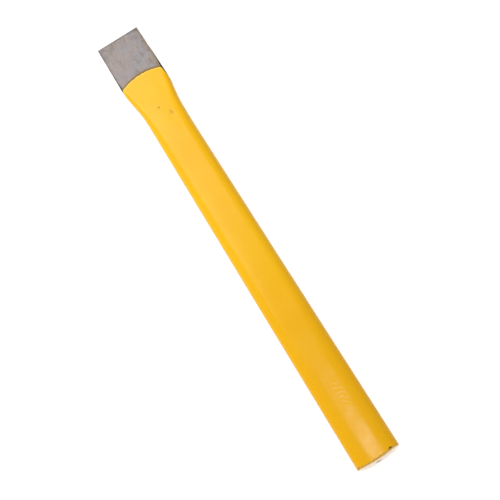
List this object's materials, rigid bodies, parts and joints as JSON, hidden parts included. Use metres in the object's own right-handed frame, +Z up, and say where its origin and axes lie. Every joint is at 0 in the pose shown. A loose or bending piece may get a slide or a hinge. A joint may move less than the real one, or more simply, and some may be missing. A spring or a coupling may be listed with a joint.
{
  "type": "flat cold chisel",
  "caption": "Flat cold chisel: flat-oval enamelled shank, forged blade with bare ground facets and a straight cutting edge, plain, slightly crowned struck end.",
  "frame": {"origin": "on the surface that the chisel lies on, under the centre of its length and width", "axes": "+X along the chisel towards the cutting edge, +Y across the blade, +Z up out of the broad face"},
  "size_m": [0.3, 0.0292, 0.0133],
  "materials": {
    "ground_steel": "coarse ground, with forging scale on the unground sides",
    "yellow_enamel": "semi-gloss enamel with light orange peel"
  },
  "bodies": {
    "root": {"forged_body": "ground_steel", "paint_coat": "yellow_enamel"}
  },
  "joints": []
}
